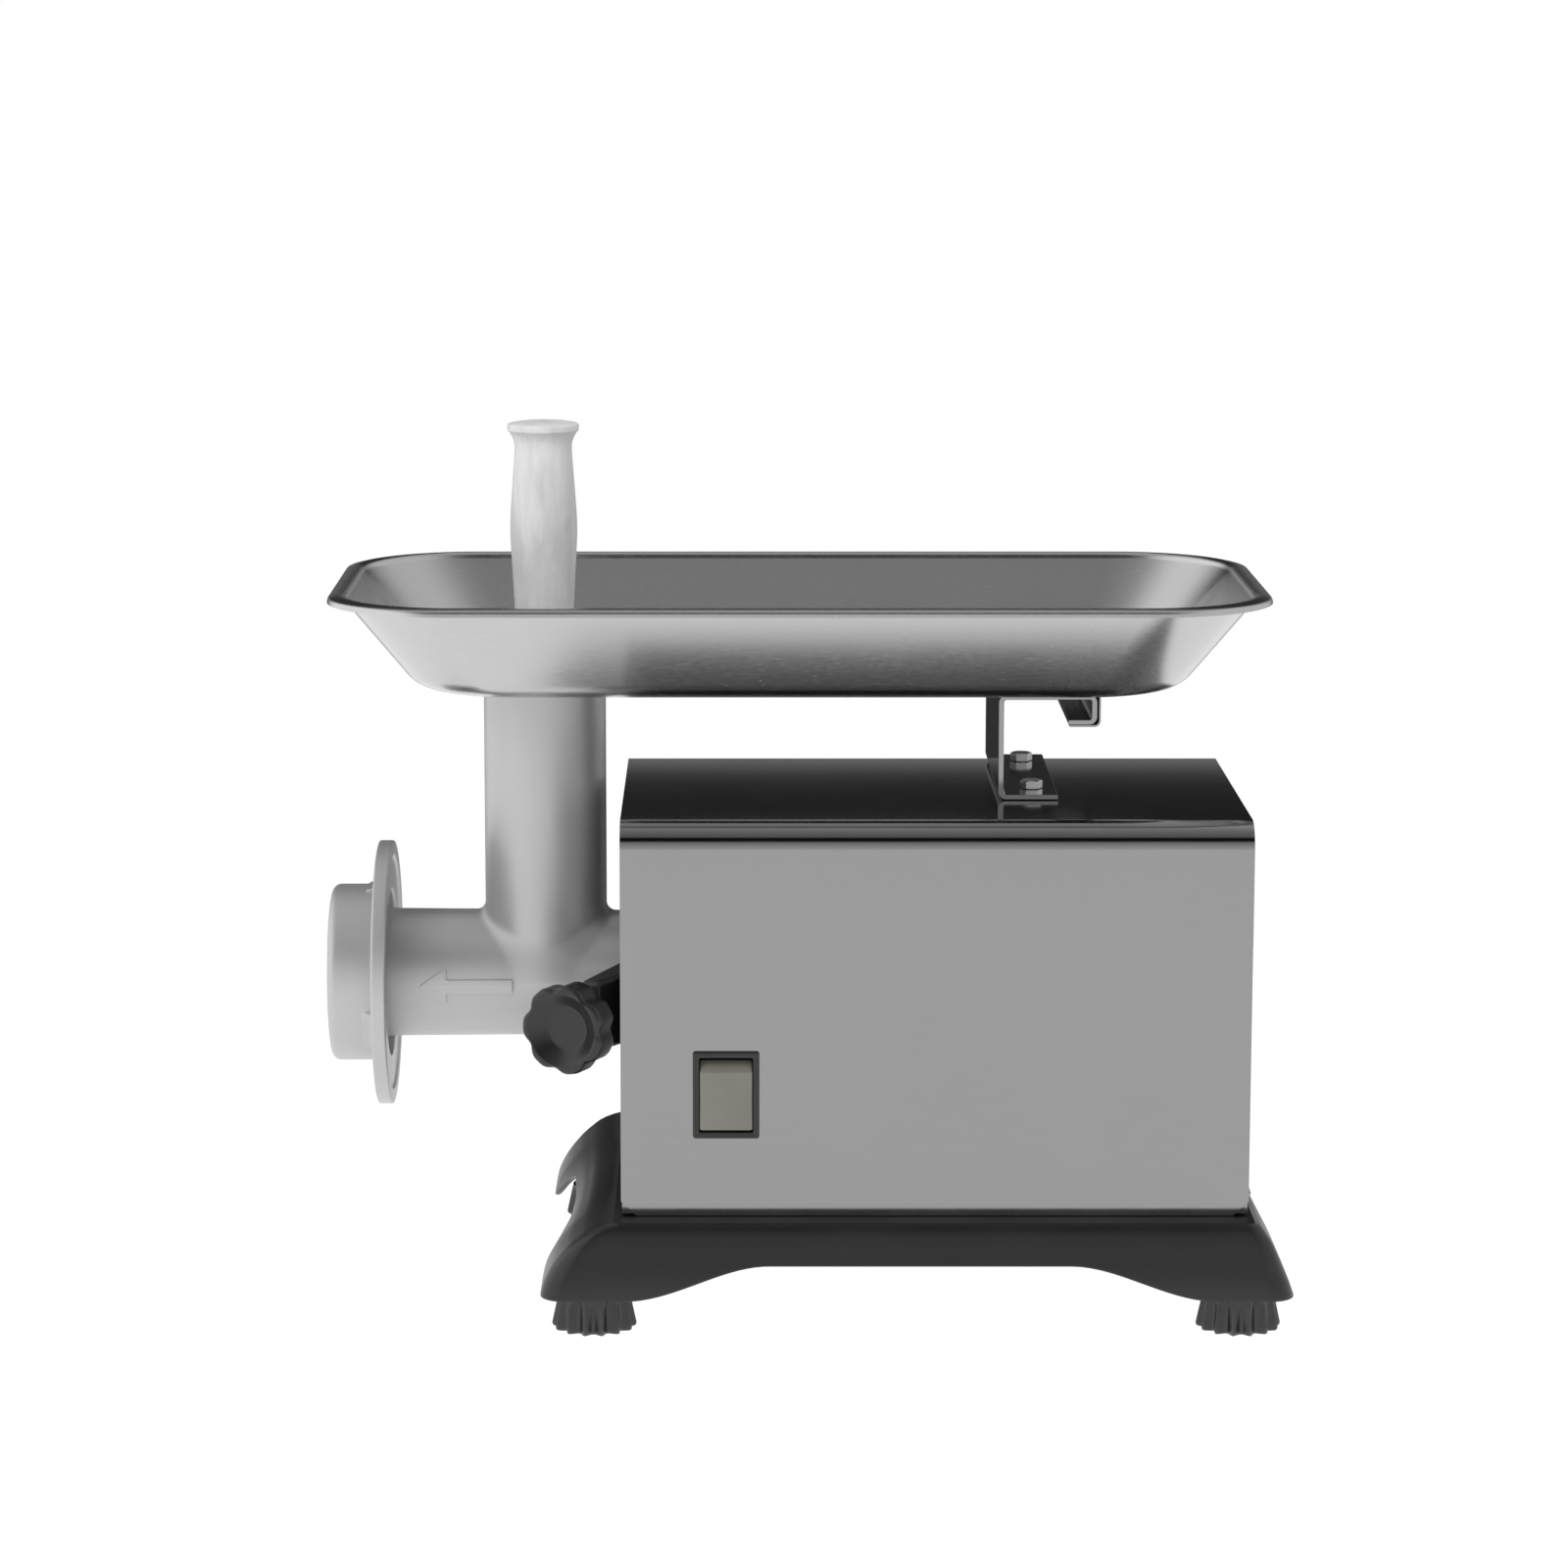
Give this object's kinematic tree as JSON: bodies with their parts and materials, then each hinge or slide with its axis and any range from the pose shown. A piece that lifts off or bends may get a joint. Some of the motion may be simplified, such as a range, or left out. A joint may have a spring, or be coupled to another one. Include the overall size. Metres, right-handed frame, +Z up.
{
  "type": "electric meat grinder",
  "caption": "Countertop electric meat grinder with steel housing on a black footed base, cast feed head, ring nut, clamp knob, feed tray and pusher.",
  "frame": {"origin": "on the ground, under the middle of the bounding box", "axes": "+Z up, +X from the ring nut to the motor end, -Y is the face with the switch"},
  "size_m": [0.472, 0.2698, 0.426],
  "materials": {
    "black_moulding": "satin moulded black plastic",
    "foot_rubber": "matte black rubber",
    "stainless_sheet": "fine brushed stainless sheet",
    "tray_steel": "brushed stainless pan",
    "cast_head": "satin tinned casting",
    "socket_black": "black enamelled casting",
    "knob_black": "moulded black plastic",
    "switch_bezel_plastic": "dark grey plastic",
    "switch_rocker_plastic": "grey rocker",
    "pusher_plastic": "off-white turned plastic",
    "zinc_fastener": "bright zinc plate",
    "machined_steel": "ground steel",
    "cast_aluminium": "as cast",
    "lamination_steel": "varnished laminations",
    "nylon": "natural nylon",
    "seal_rubber": "oil seal rubber",
    "capacitor_can": "drawn can"
  },
  "bodies": {
    "frame": {"base": "black_moulding", "foot_front_left": "foot_rubber", "foot_screw_front_left": "zinc_fastener", "foot_front_right": "foot_rubber", "foot_screw_front_right": "zinc_fastener", "foot_rear_left": "foot_rubber", "foot_screw_rear_left": "zinc_fastener", "foot_rear_right": "foot_rubber", "foot_screw_rear_right": "zinc_fastener", "housing_shell": "stainless_sheet", "left_end_panel": "stainless_sheet", "right_end_panel": "stainless_sheet", "tray_bracket": "stainless_sheet", "panel_screw_1": "zinc_fastener", "panel_screw_2": "zinc_fastener", "panel_screw_3": "zinc_fastener", "panel_screw_4": "zinc_fastener", "bracket_bolt_1": "zinc_fastener", "bracket_bolt_2": "zinc_fastener", "bracket_nut_1": "zinc_fastener", "bracket_nut_2": "zinc_fastener", "capacitor_clip": "zinc_fastener", "head_socket": "socket_black", "cable_gland": "knob_black", "gland_nut": "knob_black", "plate_key_pin": "machined_steel", "output_bearing_front": "machined_steel", "output_bearing_rear": "machined_steel", "layshaft_bearing_front": "machined_steel", "layshaft_bearing_rear": "machined_steel", "motor_bearing_front": "machined_steel", "motor_bearing_rear": "machined_steel", "head_barrel": "cast_head", "thrust_washer": "nylon", "oil_seal": "seal_rubber", "gearbox_cover": "cast_aluminium", "gearbox_case": "cast_aluminium", "motor_case": "cast_aluminium", "motor_end_shield": "cast_aluminium", "stator_core": "lamination_steel", "switch_bezel": "switch_bezel_plastic", "capacitor": "capacitor_can"},
    "plate": {"grinding_plate": "machined_steel"},
    "ring": {"ring_nut": "cast_head"},
    "output": {"output_shaft": "machined_steel", "output_gear": "machined_steel", "worm": "machined_steel", "knife": "machined_steel"},
    "lay": {"layshaft": "machined_steel", "layshaft_gear": "nylon"},
    "rotor": {"motor_shaft": "machined_steel", "rotor_core": "machined_steel", "cooling_fan": "knob_black"},
    "pad": {"clamp_pad": "machined_steel"},
    "knob": {"clamp_screw": "zinc_fastener", "clamp_knob": "knob_black"},
    "switch": {"rocker": "switch_rocker_plastic"},
    "pusher_body": {"pusher": "pusher_plastic"},
    "tray_body": {"tray": "tray_steel", "tray_hook": "stainless_sheet"}
  },
  "joints": [
    {"name": "rotor_spin", "type": "hinge", "parent": "frame", "child": "rotor", "pos_m": [0.09, -0.015, 0.1475], "axis": [1, 0, 0], "continuous": true},
    {"name": "layshaft_spin", "type": "hinge", "parent": "frame", "child": "lay", "pos_m": [0, -0.00069, 0.10483], "axis": [1, 0, 0], "continuous": true},
    {"name": "worm_spin", "type": "hinge", "parent": "frame", "child": "output", "pos_m": [0, 0.0165, 0.1475], "axis": [1, 0, 0], "continuous": true},
    {"name": "plate_slide", "type": "slide", "parent": "frame", "child": "plate", "axis": [-1, 0, 0], "range_m": [0, 0.012]},
    {"name": "ring_turn", "type": "hinge", "parent": "plate", "child": "ring", "pos_m": [-0.22, 0.0165, 0.1475], "axis": [-1, 0, 0], "range_deg": [0, 1440]},
    {"name": "pad_slide", "type": "slide", "parent": "frame", "child": "pad", "axis": [-0.4384, -0.8988, 0], "range_m": [0, 0.0045]},
    {"name": "knob_turn", "type": "hinge", "parent": "pad", "child": "knob", "pos_m": [-0.116, -0.121, 0.1475], "axis": [-0.4384, -0.8988, 0], "range_deg": [0, 1080]},
    {"name": "rocker_tilt", "type": "hinge", "parent": "frame", "child": "switch", "pos_m": [-0.0373, -0.106, 0.11345], "axis": [1, 0, 0], "range_deg": [0, 8]},
    {"name": "pusher_lift", "type": "slide", "parent": "frame", "child": "pusher_body", "axis": [0, 0, 1], "range_m": [0, 0.11]},
    {"name": "tray_tilt", "type": "hinge", "parent": "frame", "child": "tray_body", "pos_m": [0.1365, 0.0165, 0.29], "axis": [0, 1, 0], "range_deg": [0, 4]}
  ],
  "couplings": [
    {"joint": "layshaft_spin", "follows": "rotor_spin", "ratio": -0.25},
    {"joint": "worm_spin", "follows": "rotor_spin", "ratio": 0.098485},
    {"joint": "plate_slide", "follows": "ring_turn", "m_per_rad": 0.00047746},
    {"joint": "pad_slide", "follows": "knob_turn", "m_per_rad": 0.00023873}
  ]
}
